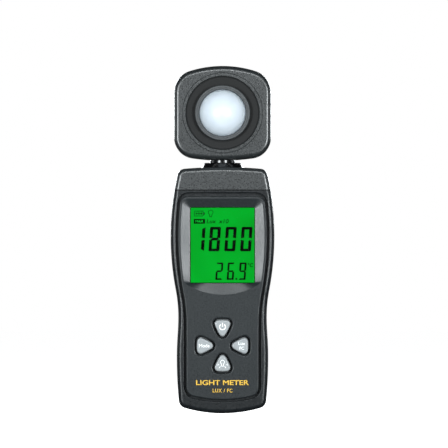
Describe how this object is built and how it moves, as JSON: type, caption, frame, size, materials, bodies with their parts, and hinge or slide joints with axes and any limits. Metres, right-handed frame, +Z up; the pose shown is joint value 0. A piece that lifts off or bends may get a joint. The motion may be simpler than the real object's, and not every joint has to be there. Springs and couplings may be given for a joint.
{
  "type": "handheld light meter",
  "caption": "Handheld light meter with a waisted dark casing, recessed display, key cross, and a swivelling square sensor head that carries a white dome.",
  "frame": {"origin": "middle of the bounding box's base, under the casing's curved foot", "axes": "+Z up along the meter towards the sensor head; the face looks along -Y; +X to the viewer's right"},
  "size_m": [0.0552, 0.036, 0.185],
  "materials": {
    "casing": "fine satin texture",
    "panel": "fine satin texture",
    "head": "fine satin texture",
    "gloss_black": "glossy",
    "dome_white": "translucent satin",
    "key_grey": "satin",
    "mat_grey": "matte",
    "pill_carbon": "matte",
    "clear_window": "clear",
    "display": "lit display",
    "light_guide": "clear acrylic",
    "frame_black": "matte",
    "elastomer": "matte",
    "board_green": "solder mask",
    "chip_black": "matte",
    "part_beige": "ceramic",
    "socket_white": "nylon",
    "screw_steel": "machined",
    "spring_steel": "nickel plated",
    "contact_nickel": "nickel plated",
    "cell_jacket": "printed jacket",
    "washer_nylon": "nylon",
    "ring_rubber": "matte",
    "liner_card": "card",
    "label_silver": "printed film",
    "lead_grey": "matte",
    "filter_green": "colour filter",
    "diode_black": "matte"
  },
  "bodies": {
    "housing": {"front_cover": "casing", "rear_cover": "casing", "shoulder_cap": "casing", "neck_collar": "gloss_black", "rating_label": "label_silver", "face_panel": "panel", "display_window": "clear_window", "display_glass": "display", "backlight": "light_guide", "display_frame": "frame_black", "contact_strips": "elastomer", "main_board": "board_green", "controller_chip": "chip_black", "board_parts": "part_beige", "temperature_sensor": "chip_black", "keypad_mat": "mat_grey", "case_screws": "screw_steel", "board_screws": "screw_steel", "cell_left": "cell_jacket", "cell_middle": "cell_jacket", "cell_right": "cell_jacket", "battery_springs": "spring_steel", "battery_terminals": "contact_nickel", "lead_lower": "lead_grey", "board_socket": "socket_white", "friction_ring": "ring_rubber", "thrust_washer": "washer_nylon", "spring_washer": "spring_steel"},
    "sensor_head": {"head_front_cover": "head", "head_rear_cover": "head", "dome_ring": "head", "diffuser_dome": "dome_white", "sensor_cup": "frame_black", "correction_filter": "filter_green", "photodiode": "diode_black", "sensor_board": "board_green", "sensor_plug": "socket_white", "head_screws": "screw_steel", "swivel_shaft": "gloss_black", "shaft_clip": "spring_steel", "lead_upper": "lead_grey"},
    "battery_door": {"battery_door": "casing", "door_liner": "liner_card"},
    "power_key": {"power_key": "key_grey", "power_pill": "pill_carbon"},
    "mode_key": {"mode_key": "key_grey", "mode_pill": "pill_carbon"},
    "unit_key": {"unit_key": "key_grey", "unit_pill": "pill_carbon"},
    "backlight_key": {"backlight_key": "key_grey", "backlight_pill": "pill_carbon"}
  },
  "joints": [
    {"name": "head_swivel", "type": "hinge", "parent": "housing", "child": "sensor_head", "pos_m": [0, 0.002, 0.1334], "axis": [0, 0, 1], "range_deg": [-135, 135]},
    {"name": "battery_door_slide", "type": "slide", "parent": "housing", "child": "battery_door", "axis": [0, 0, -1], "range_m": [0, 0.066]},
    {"name": "power_key_press", "type": "slide", "parent": "housing", "child": "power_key", "axis": [0, 1, 0], "range_m": [0, 0.001], "stiffness_N_per_m": 1200},
    {"name": "mode_key_press", "type": "slide", "parent": "housing", "child": "mode_key", "axis": [0, 1, 0], "range_m": [0, 0.001], "stiffness_N_per_m": 1200},
    {"name": "unit_key_press", "type": "slide", "parent": "housing", "child": "unit_key", "axis": [0, 1, 0], "range_m": [0, 0.001], "stiffness_N_per_m": 1200},
    {"name": "backlight_key_press", "type": "slide", "parent": "housing", "child": "backlight_key", "axis": [0, 1, 0], "range_m": [0, 0.001], "stiffness_N_per_m": 1200}
  ]
}
